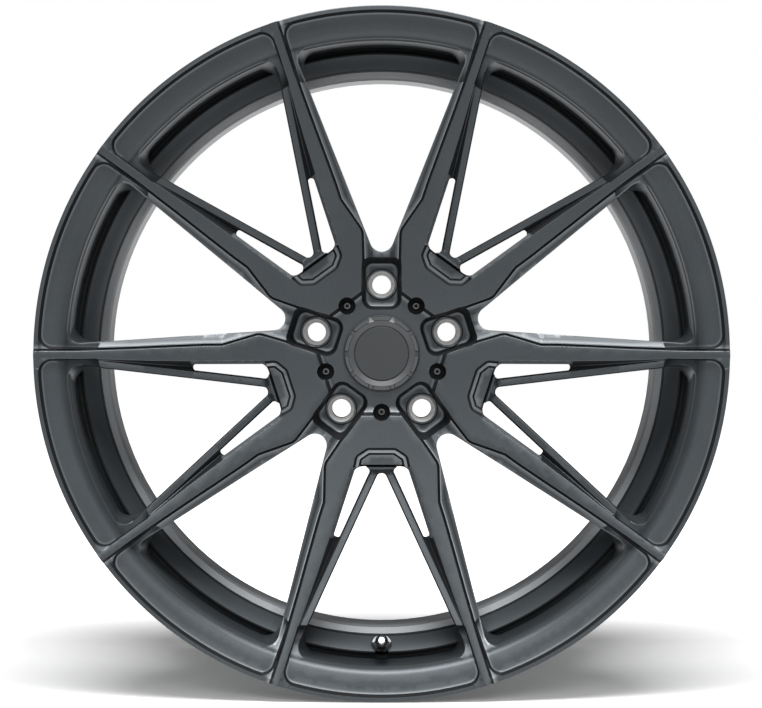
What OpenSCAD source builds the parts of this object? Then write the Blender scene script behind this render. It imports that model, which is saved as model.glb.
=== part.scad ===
// Forged racing wheel rim, face and barrel welded together, millimetres.
// Row frame: origin on the axle line at the hub mounting face, +Y inboard along the axle, +Z up.
// Every piece is drawn lying down (z = height over the mounting face, towards the outboard side,
// y = up, the valve at -y) and row_frame() stands it up.

/* [Rim] */
// Diameter of the two bead seats
rim_d = 512.8; // [430:0.1:620]
// Distance between the two bead seats
rim_w = 228.6; // [190:0.1:275]
// Mounting face to the rim's centre line
offset_et = 35; // [28:1:42]
// Height of the flanges over the bead seats
flange_h = 17.5; // [14:0.1:21]
// Width of each flange
flange_w = 13; // [11:0.1:15.6]
// Wall of the barrel
barrel_wall = 5; // [4:0.1:6]
// Depth of the drop-centre well below the bead seats
well_depth = 28; // [24:0.5:33]
// Width of the drop-centre well
well_w = 56; // [46:1:67]

/* [Face] */
// Number of spoke pairs, lug holes and hub screws
pairs = 5; // [5:1:5]
// How far the spokes sink from the flange to the hub centre
dish_depth = 46; // [38:1:55]
// Angle of each main spoke from its pair's centre line
spoke_angle = 18; // [18:1:18]
// Width of a main spoke's top land where it leaves the hub plate
spoke_land = 12; // [10:0.1:14]
// Width of a main spoke's top land at the flange
spoke_tip_land = 5.8; // [4.8:0.1:7]
// Radial distance of the hub plate's outer corners
knee_r = 98; // [96:0.5:101]
// Half opening angle of the windows at the lug holes
lug_window_angle = 21.8; // [19:0.1:23]
// Half opening angle of the windows between the struts
mid_window_angle = 25.1; // [22:0.1:26]
// Width of the thin inner struts
strut_w = 6.9; // [5.7:0.1:8.3]
// How far the struts lie below the main spokes
strut_drop = 7; // [5:0.5:9]
// Radial distance where the slots beside the struts end
slot_end_r = 147.5; // [130:0.5:165]
// Depth of the floor pockets between the spokes behind the flange
rim_pocket_depth = 13; // [10:0.5:15]

/* [Hub] */
// Pitch circle of the lug holes
lug_pcd = 112; // [108:0.1:118]
// Diameter of the lug holes
lug_hole_d = 15.5; // [14:0.1:17]
// Diameter of the pressed-in lug seats
seat_d = 22.4; // [21:0.1:24]
// Height of the lug seats
seat_h = 10; // [9:0.5:12]
// Full angle of the lug seat cones
seat_cone = 60; // [60:1:60]
// Diameter of the hub bore
hub_bore_d = 66.6; // [64:0.1:70]
// Depth of the hub bore
hub_bore_h = 24; // [20:0.5:25]
// Diameter of the mounting pad
pad_d = 156; // [150:1:160]
// Depth of the recess round the cap, below the flange plane
hub_floor = 50; // [49:0.5:53]
// Depth of the lug pockets, below the flange plane
lug_floor = 66; // [60:0.5:70]
// Radial distance of the hub screws
screw_r = 47.5; // [46:0.1:49]
// Diameter of the hub screws' counterbores
screw_bore_d = 13.2; // [11:0.1:14]

/* [Centre cap] */
// Diameter of the cap's flange
cap_d = 62; // [58:0.1:64]
// Diameter of the bore that the cap's fingers grip
cap_bore_d = 57; // [54:0.1:58]
// Running gap between the cap and the wheel
cap_gap = 0.25; // [0.15:0.05:0.4]
// Diameter of the blank disc
disc_d = 43.6; // [38:0.1:46]
// Number of tabs on the crown ring
crown_tabs = 10; // [6:1:12]

/* [Valve] */
// Tilt of the valve towards the wheel's axis
valve_tilt = 14; // [10:1:18]
// Diameter of the valve hole
valve_hole_d = 11.5; // [10.5:0.1:12.5]
// Diameter of the spot face round the valve hole
spot_d = 17; // [16.6:0.1:18]
// Diameter of the valve stem
stem_d = 8.1; // [7.6:0.1:8.4]
// Length of the stem in front of the spot face
stem_l = 32; // [28:0.5:36]
// Thickness of wall that the valve clamps
clamp_wall = 5; // [4:0.1:6]
// Distance across the flats of the valve nut
nut_af = 12; // [11:0.1:13]

/* [Hidden] */
$fn = 96;
eps = 0.01;

rim_r = rim_d / 2;
flange_r = rim_r + flange_h;
front_h = rim_w / 2 + flange_w - offset_et;      // height of the outboard flange plane
total_w = rim_w + 2 * flange_w;
pitch = 360 / pairs;
lug_r = lug_pcd / 2;
bore_r = hub_bore_d / 2;
seat_r = seat_d / 2;
lug_hole_r = lug_hole_d / 2;

// Rim section, as distance behind the flange plane
flange_curl = 9.5;                               // radius under the flange's rim
hump_at = flange_w + 21;
wall_in_r = rim_r - 8.9;                         // inner wall beside the windows
shelf_r = wall_in_r - 6.9;                       // edge of the sloped band
joint_r = rim_r - well_depth + 1.2;              // inner radius at the joint with the barrel
well_in_r = rim_r - well_depth - barrel_wall;
shelf_at = 44.5;
joint_at = 63.5;
weld_w = 6;
pocket_out_r = flange_r - 3.2;
window_r = rim_r - 7.9;                          // outer edge of the windows
tip_r = flange_r + 0.6;                          // the spoke tips stand just proud of the flange

// Hub
bore_end_h = front_h - hub_floor;                // height of the recess floor
lug_floor_h = front_h - lug_floor;
boss_r = seat_r + 1.4;
boss_h = 1.5;
seat_top_h = lug_floor_h + boss_h;
cone_r = seat_r - 0.55;
cone_h = (cone_r - lug_hole_r) / tan(seat_cone / 2);
screw_depth = 9;
screw_hole_r = 1.6;
screw_l = 14;
screw_head_r = 2.9;
screw_head_h = 3;
recess_r = screw_r + 0.8;

// Cap
cap_r = cap_d / 2;
cap_bore_r = cap_bore_d / 2;
cap_seat = 2;                                    // depth of the cap's counterbore
cap_base_t = 2.4;
crown_t = 3;
crown_in_r = disc_d / 2 + 0.3;
disc_t = 1.6;
finger_l = 15;
finger_wall = 1.8;
wire_r = 0.8;
cap_base_h = bore_end_h - cap_seat;              // underside of the cap's flange

// Valve, along its own axis: 0 at the front spot face
valve_r = rim_r - 19.8;
valve_h = front_h - 55;
spot_r = spot_d / 2;
stem_r = stem_d / 2;
neck_r = valve_hole_d / 2 - 0.1;
grommet_t = 3;
head_t = 3;
washer_t = 1.2;
nut_t = 5;
core_r = 2.2;
thread_gap = 0.1;
cap_skirt = 9;
cap_top = 3.6;
pin_travel = 1.5;

// Distance of the spokes' lands behind the flange plane at radius r
function dish(r) = dish_depth * (1 - pow(r / (flange_r - 4), 1.6));
// Distance of the spokes' backs behind the flange plane at radius r
function spoke_back(r) = shelf_at + 1.5 + 42 * pow(max(0, (window_r - r) / (window_r - 70)), 1.9);
// A point at s along and t across a main spoke, in its pair's own outline; side is 1 or -1
function on_spoke(s, t, side) = [side * (s * sin(spoke_angle) + t * cos(spoke_angle)),
                                 s * cos(spoke_angle) - t * sin(spoke_angle)];
// Fraction f of the way from the hub plate's corner to the spoke's tip
function spoke_s(f) = knee_r + f * (tip_r - knee_r);
function polar(r, a) = [r * sin(a), r * cos(a)];

module row_frame() { rotate([90, 0, 0]) children(); }
module at_pairs() { for (k = [0:pairs - 1]) rotate(-pitch * (k + 0.5)) children(); }
module at_lugs() { for (k = [0:pairs - 1]) rotate(-pitch * k) children(); }
module at_valve() { translate([0, -valve_r, valve_h]) rotate([-valve_tilt, 0, 0]) children(); }
// A ring section given as [radius, distance behind the flange plane]
module turned(points) { rotate_extrude() polygon([for (p = points) [p[0], front_h - p[1]]]); }
module ring(r_out, r_in, z0, z1) {
    translate([0, 0, z0]) difference() {
        cylinder(r = r_out, h = z1 - z0);
        translate([0, 0, -1]) cylinder(r = r_in, h = z1 - z0 + 2);
    }
}
module soft_corners(r) { offset(r = r, $fn = 16) offset(delta = -r) children(); }

// ---- outlines of the face ----
// Edges of a main spoke's land as [fraction of its length, distance from its centre line]
land_out = [[0, 14.6], [0.17, 0.51 * spoke_land], [0.25, 0.51 * spoke_land],
            [0.8, 0.41 * spoke_tip_land], [1, 0.4 * spoke_tip_land]];
land_in = [[1, -0.57 * spoke_tip_land], [0.86, -0.6 * spoke_tip_land],
           [0.4, -0.49 * spoke_land], [0, -0.47 * spoke_land]];

// The raised plate of one pair: the hub plate and both spoke lands
module pair_plate(side) {
    polygon(concat([[0, recess_r + 2.4], [side * 16, recess_r + 2.4], [side * 32.2, 71.1]],
                   [for (p = land_out) on_spoke(spoke_s(p[0]), p[1], side)],
                   [for (p = land_in) on_spoke(spoke_s(p[0]), p[1], side)],
                   [[0, on_spoke(knee_r, land_in[3][1], side)[1]]]));
}
// A wedge with its point on the centre line, closed by the circle of radius r
module wedge(point_r, angle, r) {
    reach = r * 1.2;
    intersection() {
        circle(r = r);
        polygon([[0, point_r], [-(reach - point_r) * tan(angle), reach],
                 [(reach - point_r) * tan(angle), reach]]);
    }
}
lug_window_point = 66;
mid_window_point = 90.9;
module lug_window(r) { soft_corners(9.3) wedge(lug_window_point, lug_window_angle, r); }
module mid_window(r) { soft_corners(4) wedge(mid_window_point, mid_window_angle, r); }
// The slot between a strut and its main spoke
slot_in_y = 91.2;
slot_side = -8.4;                                // the spoke's lower edge along the slot
function strut_x(y) = (y - mid_window_point) * tan(mid_window_angle)
                      + strut_w / cos(mid_window_angle);
function slot_x(y) = (y * sin(spoke_angle) + slot_side) / cos(spoke_angle);
module slot() {
    soft_corners(2.4) polygon([[strut_x(slot_in_y), slot_in_y], [slot_x(slot_in_y), slot_in_y],
                               [slot_x(slot_end_r), slot_end_r], [strut_x(slot_end_r), slot_end_r]]);
}
// The floor pocket behind the flange, at a window of half angle a at that radius
module floor_pocket(a) {
    soft_corners(8) intersection() {
        difference() {
            circle(r = pocket_out_r);
            circle(r = window_r - 9);
        }
        polygon([[0, 0], polar(flange_r * 1.2, -a), polar(flange_r * 1.2, a)]);
    }
}
module mirrored() {
    children();
    mirror([1, 0]) children();
}
module windows(r) {
    at_lugs() lug_window(r);
    at_pairs() mid_window(r);
    at_pairs() mirrored() slot();
}

// ---- solids of the face ----
dish_steps = 5;
root_r = window_r + 3;                           // how far the spokes reach into the rim
function radii(a, b) = [for (i = [0:dish_steps]) a + (b - a) * i / dish_steps];
// A dished disc: its front is the spokes' lands sunk by drop, its back the spokes' backs.
// Beyond the windows only the tips go on, as thin as the flange they cross.
module spoke_disc(drop, r_in, r_out) {
    turned(concat([for (r = radii(r_in, r_out)) [r, dish(r) + drop]],
                  r_out > root_r ? [[r_out, 3.2], [root_r, 5]] : [],
                  [for (r = radii(root_r, r_in)) [r, spoke_back(min(r, window_r))]]));
}
module rim_section() {
    seat_drop = 1.8;                             // the seats' 5 degree fall
    turned([[flange_r - 0.8, 0], [flange_r, 0.8], [flange_r, flange_w - flange_curl],
            for (a = [15:15:90]) [flange_r - flange_curl * (1 - cos(a)),
                                  flange_w - flange_curl * (1 - sin(a))],
            [rim_r + 1.2, flange_w], [rim_r, flange_w + 1.2],
            [rim_r - seat_drop, hump_at - 4], [rim_r + 0.3, hump_at], [rim_r - 2, hump_at + 7],
            [rim_r - 3, 53], [joint_r + barrel_wall, joint_at + weld_w - 3.5],
            [joint_r + barrel_wall, joint_at + weld_w],
            [joint_r, joint_at + weld_w], [joint_r, joint_at - 1.5], [shelf_r, shelf_at],
            [shelf_r + 1, shelf_at], [shelf_r + 1.8, shelf_at + 6], [wall_in_r - 1.2, shelf_at + 6],
            [wall_in_r, shelf_at], [window_r + 1, 14], [window_r + 1, 3],
            [flange_r - 3.1, 3], [flange_r - 3, 0]]);
}
module floor_pocket_cut() {
    // Floor of the pockets: gently falling, then rounding over into the window's wall
    turned([[pocket_out_r + 1, -1], [pocket_out_r - 2.9, 5], [rim_r, 8], [window_r + 4, 0.75 * rim_pocket_depth],
            [window_r + 1.2, rim_pocket_depth], [window_r - 10, rim_pocket_depth + 2],
            [window_r - 10, -5], [pocket_out_r + 1, -5]]);
}
module floor_pockets() {
    intersection() {
        floor_pocket_cut();
        translate([0, 0, front_h - 30]) linear_extrude(40) {
            at_lugs() floor_pocket(16.3);
            at_pairs() floor_pocket(16.9);
        }
    }
}
module spokes() {
    // Lower body with the windows cut through, then the raised lands
    difference() {
        spoke_disc(strut_drop, 60, root_r);
        translate([0, 0, -5]) linear_extrude(front_h + 10) windows(window_r);
    }
    intersection() {
        spoke_disc(0, 44, tip_r - 0.1);
        translate([0, 0, -5]) linear_extrude(front_h + 10) at_pairs() mirrored() pair_plate(1);
    }
}
module hub_block() {
    turned([[bore_r - 6, dish(40)], [recess_r + 20, dish(70)], [80, dish(80) + 6], [82, 70],
            [pad_d / 2 + 1.5, front_h - 3], [pad_d / 2, front_h], [bore_r - 6, front_h]]);
}
// Outline of the stepped recess where the two struts start
module bracket_recess(inset) {
    soft_corners(5) polygon([
        [-24.5 + inset, 97], [-20.8 + inset, 82.4], [-14 + inset / 2, 76 + inset], [14 - inset / 2, 76 + inset],
        [20.8 - inset, 82.4], [24.5 - inset, 97]]);
}
module bracket_cut() {
    ledge = 3.2;
    floor_d = 8.5;
    root_h = front_h - dish(95) - strut_drop;
    difference() {
        union() {
            translate([0, 0, front_h - dish(84) - ledge]) linear_extrude(30) bracket_recess(0);
            translate([0, 0, front_h - dish(84) - floor_d]) linear_extrude(30) bracket_recess(3.8);
        }
        // The raised bar between the ledge and the struts
        translate([0, 0, front_h - dish(84) - 30]) linear_extrude(30 - 3.6)
            polygon([[-11.5, 82.5], [11.5, 82.5], [14.5, 89.5], [-14.5, 89.5]]);
        // The root plate that carries both struts
        translate([0, 0, root_h - 30]) linear_extrude(30)
            polygon([[-9, 91.5], [9, 91.5], [15, 105], [-15, 105]]);
    }
}
module lug_pocket() {
    soft_corners(6.5) translate([-14.4, 36.5]) square([28.8, 38.5]);
}
module back_relief() {
    // Lightening pockets in the mounting pad between the lug holes
    depth = 14;
    translate([0, 0, -1]) linear_extrude(depth + 1) soft_corners(5) difference() {
        wedge(24, 20, pad_d / 2 - 7);
        circle(r = bore_r + 9);
    }
}
module valve_cuts() {
    at_valve() {
        translate([0, 0, -30]) cylinder(d = valve_hole_d, h = 60);
        cylinder(r = spot_r, h = 40);
        translate([0, 0, -clamp_wall - 30]) cylinder(r = spot_r, h = 30);
    }
    // Relief in the wall beside the valve
    translate([-5, -(wall_in_r + 4.5), front_h - 50]) cube([10, 14, 32]);
}

module face_forging() {
    color([0.27, 0.29, 0.31]) row_frame() difference() {
        union() {
            difference() {
                rim_section();
                floor_pockets();
            }
            spokes();
            hub_block();
        }
        // Hub bore, cap bore and cap seat
        translate([0, 0, -1]) cylinder(r = bore_r, h = hub_bore_h + 1);
        translate([0, 0, hub_bore_h - 1]) cylinder(r = cap_bore_r, h = 40);
        translate([0, 0, cap_base_h]) cylinder(r = cap_r + cap_gap, h = 40);
        translate([0, 0, -eps]) cylinder(r1 = bore_r + 1.5, r2 = bore_r, h = 1.5);
        // Recess round the cap
        translate([0, 0, bore_end_h]) cylinder(r = recess_r, h = 40);
        at_pairs() {
            translate([0, screw_r, bore_end_h - screw_depth]) cylinder(d = screw_bore_d, h = 40);
            translate([0, screw_r, bore_end_h - screw_depth - screw_l]) cylinder(r = screw_hole_r, h = 40);
            bracket_cut();
            back_relief();
        }
        at_lugs() {
            difference() {
                translate([0, 0, lug_floor_h]) linear_extrude(60) lug_pocket();
                translate([0, lug_r, lug_floor_h - 1]) cylinder(r = boss_r, h = boss_h + 1);
            }
            translate([0, lug_r, seat_top_h - seat_h]) cylinder(r = seat_r, h = 40);
            translate([0, lug_r, -1]) cylinder(r = lug_hole_r, h = 60);
        }
        valve_cuts();
    }
}

// The barrel starts where the face's spigot ends and is spun to the inboard flange
module inner_barrel() {
    b0 = joint_at;                               // front edge, against the face's shoulder
    foot = total_w - flange_w;                   // inboard bead seat line
    w = barrel_wall;
    well_out_r = well_in_r + w;
    color([0.30, 0.32, 0.34]) row_frame() turned([
        [joint_r, b0 + weld_w + eps], [joint_r, b0 + weld_w + 1.5], [well_in_r + 1.5, b0 + 10], [well_in_r, b0 + 13],
        [well_in_r + 1.5, b0 + well_w], [rim_r - 12, b0 + well_w + 40], [rim_r - w - 3.5, foot - 24],
        [rim_r - w - 3.5, foot - 10], [rim_r - w - 1, foot + 3], [rim_r + 1, total_w - 1.6],
        [rim_r + 4, total_w], [flange_r - 0.8, total_w], [flange_r, total_w - 0.8],
        [flange_r, total_w - flange_w + flange_curl],
        for (a = [15:15:90]) [flange_r - flange_curl * (1 - cos(a)),
                              total_w - flange_w + flange_curl * (1 - sin(a))],
        [rim_r + 1.2, foot], [rim_r, foot - 1.2], [rim_r - 1.8, foot - 17], [rim_r + 0.3, foot - 21],
        [rim_r - 3, foot - 27], [rim_r - 12 + w, b0 + well_w + 40], [well_out_r + 1.5, b0 + well_w],
        [well_out_r, b0 + 14], [joint_r + w, b0 + weld_w + 1.5], [joint_r + w, b0 + weld_w + eps]]);
}

module barrel_weld() {
    color([0.24, 0.26, 0.28]) row_frame() turned([
        [joint_r + barrel_wall, joint_at + weld_w - 2.5], [joint_r + barrel_wall + 1.4, joint_at + weld_w - 1],
        [joint_r + barrel_wall + 1.4, joint_at + weld_w + 1], [joint_r + barrel_wall, joint_at + weld_w + 1.5]]);
}

module lug_seat(k) {
    color("silver") row_frame() rotate(-pitch * (k - 1)) translate([0, lug_r, seat_top_h - seat_h])
        difference() {
            cylinder(r = seat_r, h = seat_h);
            translate([0, 0, -1]) cylinder(r = lug_hole_r, h = seat_h + 2);
            translate([0, 0, seat_h - cone_h]) cylinder(r1 = lug_hole_r, r2 = cone_r, h = cone_h + eps / 10);
        }
}

module hub_screws() {
    head_h0 = bore_end_h - screw_depth;
    color("dimgray") row_frame() at_pairs() translate([0, screw_r, head_h0]) difference() {
        union() {
            cylinder(r = screw_head_r, h = screw_head_h);
            translate([0, 0, 1 - screw_l]) cylinder(r = screw_hole_r, h = screw_l - 1 + eps);
        }
        translate([0, 0, 1.2]) cylinder(r = 1.6, h = screw_head_h, $fn = 6);
    }
}

module cap_body() {
    fingers = 10;
    skirt_r = cap_bore_r - cap_gap;
    color([0.2, 0.22, 0.24]) row_frame() {
        translate([0, 0, cap_base_h]) cylinder(r = cap_r, h = cap_base_t);
        difference() {
            ring(skirt_r, skirt_r - finger_wall, cap_base_h - finger_l, cap_base_h + eps);
            // Slits between the fingers, and the groove for the wire ring
            for (k = [0:fingers / 2 - 1]) rotate(k * 360 / fingers)
                translate([-cap_r, -1.5, cap_base_h - finger_l - 1]) cube([2 * cap_r, 3, finger_l - 1]);
            translate([0, 0, cap_base_h - finger_l + 3])
                rotate_extrude() translate([skirt_r - finger_wall, 0]) circle(r = wire_r, $fn = 24);
        }
    }
}

module cap_crown_ring() {
    base = cap_base_h + cap_base_t;
    slope_r = cap_r - 4.6;
    color([0.23, 0.25, 0.27]) row_frame() translate([0, 0, base]) {
        // Crest that falls inwards to the disc and outwards to the cap's edge
        rotate_extrude() polygon([[crown_in_r, 0], [crown_in_r, crown_t - 1.6], [slope_r, crown_t],
                                  [cap_r - 0.6, 0.8], [cap_r - 0.2, 0.6], [cap_r - 0.2, 0]]);
        for (k = [0:crown_tabs - 1]) rotate(k * 360 / crown_tabs) linear_extrude(crown_t)
            polygon([[-5.6, slope_r - 0.6], [5.6, slope_r - 0.6], [7, cap_r - 2.2], [-7, cap_r - 2.2]]);
    }
}

module cap_disc() {
    color([0.25, 0.27, 0.29]) row_frame() translate([0, 0, cap_base_h + cap_base_t]) {
        cylinder(d = disc_d, h = disc_t - 0.5);
        translate([0, 0, disc_t - 0.5]) cylinder(d1 = disc_d, d2 = disc_d - 1, h = 0.5);
    }
}

module cap_spring_ring() {
    r = cap_bore_r - cap_gap - finger_wall;
    color("silver") row_frame() translate([0, 0, cap_base_h - finger_l + 3]) rotate(90) difference() {
        rotate_extrude() translate([r, 0]) circle(r = wire_r, $fn = 24);
        translate([0, -2, -2]) cube([cap_r, 4, 4]);
    }
}

module valve_stem() {
    head_z = -clamp_wall - grommet_t - head_t;
    color([0.13, 0.14, 0.15]) row_frame() at_valve() difference() {
        union() {
            translate([0, 0, head_z]) cylinder(r = spot_r - 0.9, h = head_t);
            translate([0, 0, head_z + eps]) cylinder(r = stem_r, h = stem_l - cap_skirt - head_z);
            translate([0, 0, stem_l - cap_skirt]) cylinder(r = stem_r - 0.2, h = cap_skirt);
        }
        translate([0, 0, head_z - 1]) cylinder(r = 1.2, h = 60);
        translate([0, 0, stem_l - 14]) cylinder(r = core_r, h = 20);
    }
}
module valve_grommet() {
    color([0.05, 0.05, 0.05]) row_frame() at_valve() difference() {
        union() {
            translate([0, 0, -clamp_wall - grommet_t]) cylinder(r = spot_r - 0.3, h = grommet_t);
            translate([0, 0, -clamp_wall - eps]) cylinder(r = neck_r, h = clamp_wall + eps);
        }
        translate([0, 0, -20]) cylinder(r = stem_r, h = 40);
    }
}
module valve_washer() {
    color("darkgray") row_frame() at_valve() ring(spot_r - 0.5, stem_r + 0.1, 0, washer_t);
}
module valve_nut() {
    color([0.12, 0.13, 0.14]) row_frame() at_valve() translate([0, 0, washer_t]) difference() {
        cylinder(r = nut_af / 2 / cos(30), h = nut_t, $fn = 6);
        translate([0, 0, -1]) cylinder(r = stem_r, h = nut_t + 2);
    }
}
// The core: a threaded plug at the stem's mouth, a pin down its middle and the spring under it
core_top = stem_l - 2;
core_plug = 4;
seal_z = core_top - core_plug - 4.5;
pin_r = 0.55;
module valve_core_body() {
    color("goldenrod") row_frame() at_valve() difference() {
        translate([0, 0, core_top - core_plug]) cylinder(r = core_r, h = core_plug);
        translate([0, 0, core_top - core_plug - 1]) cylinder(r = pin_r + 0.08, h = core_plug + 2);
        translate([-core_r - 1, -0.5, core_top - 1.2]) cube([2 * core_r + 2, 1, 2]);
    }
}
module valve_core_pin() {
    color("gold") row_frame() at_valve() {
        translate([0, 0, seal_z - 1.4]) cylinder(r = pin_r, h = stem_l - seal_z + 0.6);
        translate([0, 0, seal_z]) cylinder(r = 1.2, h = 0.8);
    }
}
module valve_core_spring() {
    coils = 3;
    wire = 0.22;
    rise = (seal_z - pin_travel - 0.8 - (stem_l - 14)) / coils;
    color("silver") row_frame() at_valve() translate([0, 0, stem_l - 14 + wire])
        for (k = [0:coils - 1]) translate([0, 0, k * rise])
            rotate_extrude() translate([1.2, 0]) circle(r = wire, $fn = 16);
}
module valve_cap() {
    inner_r = stem_r - 0.2 + thread_gap;
    z0 = stem_l - cap_skirt + 0.6;
    color("gainsboro") row_frame() at_valve() difference() {
        union() {
            translate([0, 0, z0]) cylinder(r = inner_r + 1.1, h = cap_skirt);
            translate([0, 0, z0 + cap_skirt]) cylinder(r1 = inner_r + 1.1, r2 = 3.3, h = cap_top - 1);
            translate([0, 0, z0 + cap_skirt + cap_top - 1]) cylinder(r1 = 3.3, r2 = 2.4, h = 1);
        }
        translate([0, 0, z0 - 1]) cylinder(r = inner_r, h = cap_skirt + 1.8);
    }
}
module valve_cap_seal() {
    z0 = stem_l + 0.6;
    color([0.1, 0.1, 0.1]) row_frame() at_valve() ring(stem_r - 0.2 + thread_gap - 0.05, 1, z0, z0 + 0.8);
}

face_forging();
inner_barrel();
barrel_weld();
lug_seat(1);  // lug_seat_1
lug_seat(2);  // lug_seat_2
lug_seat(3);  // lug_seat_3
lug_seat(4);  // lug_seat_4
lug_seat(5);  // lug_seat_5
hub_screws();
cap_body();
cap_crown_ring();
cap_disc();
cap_spring_ring();
valve_stem();
valve_grommet();
valve_washer();
valve_nut();
valve_core_body();
valve_core_pin();
valve_core_spring();
valve_cap();
valve_cap_seal();
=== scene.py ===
import math

import bpy
import numpy as np
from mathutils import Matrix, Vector
from mathutils.geometry import delaunay_2d_cdt


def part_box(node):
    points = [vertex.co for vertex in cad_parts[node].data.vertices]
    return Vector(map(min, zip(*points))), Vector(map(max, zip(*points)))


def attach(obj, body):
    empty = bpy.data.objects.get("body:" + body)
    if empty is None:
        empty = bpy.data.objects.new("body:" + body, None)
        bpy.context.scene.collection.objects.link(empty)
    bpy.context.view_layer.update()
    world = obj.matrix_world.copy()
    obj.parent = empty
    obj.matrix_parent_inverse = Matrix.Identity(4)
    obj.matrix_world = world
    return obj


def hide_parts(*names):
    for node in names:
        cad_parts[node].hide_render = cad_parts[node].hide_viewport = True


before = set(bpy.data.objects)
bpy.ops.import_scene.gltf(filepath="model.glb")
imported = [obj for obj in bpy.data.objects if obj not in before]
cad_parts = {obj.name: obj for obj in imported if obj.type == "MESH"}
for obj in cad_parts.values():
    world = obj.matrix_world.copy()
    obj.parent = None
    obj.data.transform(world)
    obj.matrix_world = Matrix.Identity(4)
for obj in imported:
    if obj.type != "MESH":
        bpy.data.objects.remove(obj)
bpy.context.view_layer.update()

MM = 0.001

# ---------------------------------------------------------------------------------------------
# Face forging. A forged aluminium disc, machined all over and powder coated satin anthracite:
# five pairs of spokes with thin inner struts, the hub with its lug pockets, and the outboard
# flange with a pocket between every two spokes. The real coat is most likely even: groove walls
# are toned darker here and crests paler, in place of shade and highlights.
# ---------------------------------------------------------------------------------------------
PAIRS = 5
RIM_WIDTH = 254.6                      # over both flanges
FLANGE_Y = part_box("inner_barrel")[1][1] / MM - RIM_WIDTH
FLANGE_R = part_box("inner_barrel")[1][2] / MM
PAD_DEPTH = -FLANGE_Y                  # hub mounting face behind the flange plane
DISH_DEPTH = 46.0                      # the spokes' tops at the middle, behind the flange plane
SPOKE_ANGLE = math.radians(18)
PAIR_ANGLE = math.radians(36)          # from a pair's centre line to the lug's
STRUT_SLOPE = math.tan(math.radians(25.1))
STRUT_POINT = 90.9                     # where both edges of the window between the struts meet
STRUT_W = 6.9
SLOT_END = 147.5
SLOT_START = 91.2
SLOT_SHIFT = -8.4                      # the slot's spoke side, across the spoke
BAR_Y = 89.6                           # the bracket's raised bar ends here
BRACKET_END = 91.5                     # the bracket gives way to struts and slot here
LUG_POINT = 66.0                       # the same for the window at a lug
LUG_SLOPE = math.tan(math.radians(21.8))
WINDOW_R = 249.3                       # outer edge of the windows
LUG_R = 56.0
SEAT_R = 11.2
BOSS_R = 12.7
SCREW_R = 47.5
SCREW_BORE_R = 6.9
HUB_FLOOR = 50.0
LUG_FLOOR = 66.0
CAP_SEAT_R = 31.25
CAP_BORE_R = 28.5
HUB_BORE_R = 33.3
HUB_BORE_END = PAD_DEPTH - 24.0
STEP = 2.4                             # longest side of an outline


def unit(v):
    return v / np.linalg.norm(v, axis=-1, keepdims=True)


def round_corners(points, radii, step=1.0):
    """Closed outline: corner i gives way to an arc of radius radii[i] that is tangent to both of
    its sides, sampled every `step` millimetres; radius 0 keeps the corner."""
    points = np.array(points, float)
    out = []
    for p, before, after, r in zip(points, np.roll(points, 1, 0), np.roll(points, -1, 0), radii):
        if r == 0:
            out.append(p[None])
            continue
        u, v = unit(before - p), unit(after - p)
        half = math.acos(np.clip(u @ v, -1, 1)) / 2
        centre = p + unit(u + v) * r / math.sin(half)
        a, b = p + u * r / math.tan(half) - centre, p + v * r / math.tan(half) - centre
        turn = math.pi - 2 * half
        f = np.linspace(0, 1, max(3, int(turn * r / step) + 2))[:, None]
        out.append(centre + (np.sin((1 - f) * turn) * a + np.sin(f * turn) * b) / math.sin(turn))
    return np.vstack(out)


def dense(path, step, closed=True):
    """The same path with every side divided into equal parts no longer than `step`."""
    ends = np.roll(path, -1, 0) if closed else path[1:]
    starts = path if closed else path[:-1]
    out = []
    for a, b in zip(starts, ends):
        n = max(1, int(math.ceil(np.linalg.norm(b - a) / step)))
        out.append(a + (b - a) * (np.arange(n) / n)[:, None])
    if not closed:
        out.append(path[-1:])
    return np.vstack(out)


def arc(r, a0, a1, step, centre=(0.0, 0.0)):
    """Points on a circle from angle a0 to a1, both measured clockwise from straight up."""
    a = np.linspace(a0, a1, max(3, int(abs(a1 - a0) * r / step) + 1))
    return np.array(centre) + r * np.stack([np.sin(a), np.cos(a)], 1)


def distance(points, outline):
    """Signed distance to a closed outline, negative inside: the nearest point of all its sides,
    with the sign from how often a ray to +x crosses them."""
    a, b = outline, np.roll(outline, -1, 0)
    side = b - a
    length2 = np.maximum((side ** 2).sum(1), 1e-12)
    out = np.empty(len(points))
    for i in range(0, len(points), 4000):
        p = points[i:i + 4000, None, :]
        f = np.clip(((p - a) * side).sum(2) / length2, 0, 1)
        near = np.sqrt((((p - a) - f[..., None] * side) ** 2).sum(2)).min(1)
        up = (a[:, 1] > p[..., 1]) != (b[:, 1] > p[..., 1])
        with np.errstate(divide="ignore", invalid="ignore"):
            x = a[:, 0] + (p[..., 1] - a[:, 1]) * side[:, 0] / side[:, 1]
        crossings = (up & (p[..., 0] < x)).sum(1)
        out[i:i + 4000] = np.where(crossings % 2 == 1, -near, near)
    return out


def offset(outline, d):
    """Strings of points at distance d outside a closed outline (inside if d < 0): each point moved
    along the outline's normal, kept only where that really is its distance from the outline."""
    ahead, behind = np.roll(outline, -1, 0), np.roll(outline, 1, 0)
    way = unit(unit(ahead - outline) + unit(outline - behind))
    normal = np.stack([way[:, 1], -way[:, 0]], 1)
    area = (outline[:, 0] * ahead[:, 1] - outline[:, 1] * ahead[:, 0]).sum()
    moved = outline + normal * d * (1 if area > 0 else -1)
    return [(moved, np.abs(distance(moved, outline) - d) < 0.06)]


def whole(path, closed=True):
    """The path as one string, with a flag at each point that a side goes on from."""
    follows = np.ones(len(path), bool)
    follows[-1] = closed
    return [(path, follows)]


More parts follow.
